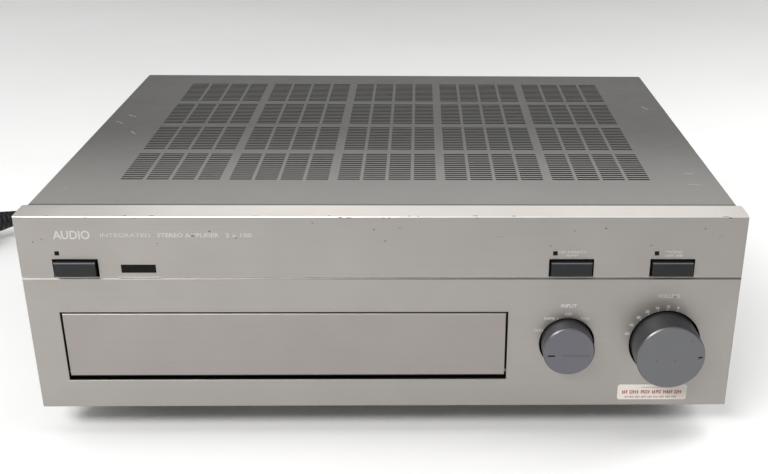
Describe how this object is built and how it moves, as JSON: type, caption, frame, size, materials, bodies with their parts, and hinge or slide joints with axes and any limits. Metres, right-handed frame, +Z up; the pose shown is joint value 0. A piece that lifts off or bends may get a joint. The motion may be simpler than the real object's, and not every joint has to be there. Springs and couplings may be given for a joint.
{
  "type": "stereo amplifier",
  "caption": "Free-standing stereo amplifier in a vented steel case, with push buttons, input and volume knobs, a drop-down control flap and a mains lead.",
  "frame": {"origin": "on the floor, midway between the volume knob's face and the strain relief's tip, in the middle of the fascia's width", "axes": "+Z up, +Y from the front to the rear, +X to the right seen from the front"},
  "size_m": [0.6401, 0.485, 0.151],
  "materials": {
    "black_plastic": "moulded",
    "board_green": "solder mask",
    "bolt_steel": "zinc plated",
    "button_plastic": "fine moulded",
    "cap_black": "moulded",
    "cap_red": "moulded",
    "capacitor_sleeve": "shrink sleeve",
    "cover_paint": "satin fine-texture paint",
    "dark_steel": "black passivated",
    "device_plastic": "moulded",
    "fascia_paint": "satin fine-grain paint",
    "flap_paint": "satin fine-grain paint",
    "foot_plastic": "moulded",
    "gear_plastic": "moulded acetal",
    "indicator_lens": "polished dark acrylic",
    "insert_red": "moulded",
    "insert_white": "moulded",
    "ir_lens": "polished dark acrylic",
    "jack_plastic": "moulded",
    "knob_paint": "satin grey",
    "lead_pvc": "satin",
    "motor_steel": "drawn",
    "pad_rubber": "matt",
    "pin_nickel": "nickel plated",
    "plug_rubber": "satin",
    "pot_steel": "pressed",
    "rear_paint": "satin paint",
    "relay_plastic": "moulded",
    "relief_rubber": "matt",
    "screw_steel": "black plated",
    "shaft_steel": "turned",
    "sink_black": "black anodised",
    "small_knob": "moulded",
    "socket_nickel": "nickel plated",
    "standoff_brass": "turned",
    "sticker_paper": "printed paper",
    "stud_brass": "plated",
    "switch_plastic": "moulded",
    "terminal_black": "moulded",
    "tie_black": "moulded",
    "washer_steel": "pressed",
    "winding_wrap": "taped winding",
    "zinc_steel": "zinc plated"
  },
  "bodies": {
    "chassis": {"board_standoffs": "standoff_brass", "bridge_rectifier": "device_plastic", "chassis_pan": "zinc_steel", "control_board": "board_green", "control_tray": "black_plastic", "cord_tie": "tie_black", "feet": "foot_plastic", "foot_pads": "pad_rubber", "front_fascia": "fascia_paint", "front_sticker": "sticker_paper", "headphone_jack": "jack_plastic", "heat_sink": "sink_black", "indicator_windows": "indicator_lens", "input_board": "board_green", "input_switch": "pot_steel", "ir_window": "ir_lens", "machine_screws": "screw_steel", "main_board": "board_green", "mains_cord": "lead_pvc", "mains_cord_coil": "lead_pvc", "mains_plug": "plug_rubber", "phono_inserts_red": "insert_red", "phono_inserts_white": "insert_white", "phono_sockets": "socket_nickel", "plug_pins": "pin_nickel", "power_transistors": "device_plastic", "push_switches": "switch_plastic", "rear_panel": "rear_paint", "reservoir_capacitors": "capacitor_sleeve", "speaker_relays": "relay_plastic", "speaker_terminal_block": "terminal_black", "strain_relief": "relief_rubber", "sub_panel": "dark_steel", "terminal_studs": "stud_brass", "tone_pots": "pot_steel", "top_cover": "cover_paint", "transformer_bolt": "bolt_steel", "transformer_washers": "washer_steel", "transformer_winding": "winding_wrap", "volume_motor": "motor_steel", "volume_pot": "pot_steel"},
    "power_button": {"power_button": "button_plastic"},
    "direct_button": {"direct_button": "button_plastic"},
    "mute_button": {"mute_button": "button_plastic"},
    "speakers_a_button": {"speakers_a_button": "button_plastic"},
    "speakers_b_button": {"speakers_b_button": "button_plastic"},
    "input_control": {"input_knob": "knob_paint", "input_shaft": "shaft_steel"},
    "volume_control": {"volume_knob": "knob_paint", "volume_shaft": "shaft_steel"},
    "motor_pinion": {"motor_pinion": "gear_plastic"},
    "bass_control": {"bass_knob": "small_knob"},
    "treble_control": {"treble_knob": "small_knob"},
    "balance_control": {"balance_knob": "small_knob"},
    "flap": {"door": "flap_paint", "door_hinge_pins": "shaft_steel"},
    "terminal_cap_left_minus": {"terminal_cap_left_minus": "cap_black"},
    "terminal_cap_left_plus": {"terminal_cap_left_plus": "cap_red"},
    "terminal_cap_right_minus": {"terminal_cap_right_minus": "cap_black"},
    "terminal_cap_right_plus": {"terminal_cap_right_plus": "cap_red"}
  },
  "joints": [
    {"name": "power_press", "type": "slide", "parent": "chassis", "child": "power_button", "axis": [0, 1, 0], "range_m": [0, 0.002], "stiffness_N_per_m": 400, "springref_m": -0.0015},
    {"name": "direct_press", "type": "slide", "parent": "chassis", "child": "direct_button", "axis": [0, 1, 0], "range_m": [0, 0.002], "stiffness_N_per_m": 400, "springref_m": -0.0015},
    {"name": "mute_press", "type": "slide", "parent": "chassis", "child": "mute_button", "axis": [0, 1, 0], "range_m": [0, 0.002], "stiffness_N_per_m": 400, "springref_m": -0.0015},
    {"name": "speakers_a_press", "type": "slide", "parent": "chassis", "child": "speakers_a_button", "axis": [0, 1, 0], "range_m": [0, 0.0025], "stiffness_N_per_m": 400, "springref_m": -0.0015},
    {"name": "speakers_b_press", "type": "slide", "parent": "chassis", "child": "speakers_b_button", "axis": [0, 1, 0], "range_m": [0, 0.0025], "stiffness_N_per_m": 400, "springref_m": -0.0015},
    {"name": "input_turn", "type": "hinge", "parent": "chassis", "child": "input_control", "pos_m": [0.11295, -0.173, 0.06675], "axis": [0, 1, 0], "range_deg": [-30, 150]},
    {"name": "volume_turn", "type": "hinge", "parent": "chassis", "child": "volume_control", "pos_m": [0.17425, -0.173, 0.06675], "axis": [0, 1, 0], "range_deg": [-240, 60]},
    {"name": "motor_turn", "type": "hinge", "parent": "chassis", "child": "motor_pinion", "pos_m": [0.17425, -0.133, 0.08115], "axis": [0, 1, 0], "range_deg": [-180, 720]},
    {"name": "bass_turn", "type": "hinge", "parent": "chassis", "child": "bass_control", "pos_m": [-0.07, -0.173, 0.0648], "axis": [0, 1, 0], "range_deg": [-150, 150]},
    {"name": "treble_turn", "type": "hinge", "parent": "chassis", "child": "treble_control", "pos_m": [-0.025, -0.173, 0.0648], "axis": [0, 1, 0], "range_deg": [-150, 150]},
    {"name": "balance_turn", "type": "hinge", "parent": "chassis", "child": "balance_control", "pos_m": [0.02, -0.173, 0.0648], "axis": [0, 1, 0], "range_deg": [-150, 150]},
    {"name": "flap_hinge", "type": "hinge", "parent": "chassis", "child": "flap", "pos_m": [-0.0612, -0.1694, 0.0458], "axis": [1, 0, 0], "range_deg": [0, 90]},
    {"name": "left_minus_unscrew", "type": "hinge", "parent": "chassis", "child": "terminal_cap_left_minus", "pos_m": [0.0315, 0.177, 0.06], "axis": [0, 1, 0], "range_deg": [0, 1080]},
    {"name": "left_plus_unscrew", "type": "hinge", "parent": "chassis", "child": "terminal_cap_left_plus", "pos_m": [0.0505, 0.177, 0.06], "axis": [0, 1, 0], "range_deg": [0, 1080]},
    {"name": "right_minus_unscrew", "type": "hinge", "parent": "chassis", "child": "terminal_cap_right_minus", "pos_m": [0.0695, 0.177, 0.06], "axis": [0, 1, 0], "range_deg": [0, 1080]},
    {"name": "right_plus_unscrew", "type": "hinge", "parent": "chassis", "child": "terminal_cap_right_plus", "pos_m": [0.0885, 0.177, 0.06], "axis": [0, 1, 0], "range_deg": [0, 1080]}
  ],
  "couplings": [
    {"joint": "motor_turn", "follows": "volume_turn", "ratio": -3}
  ]
}
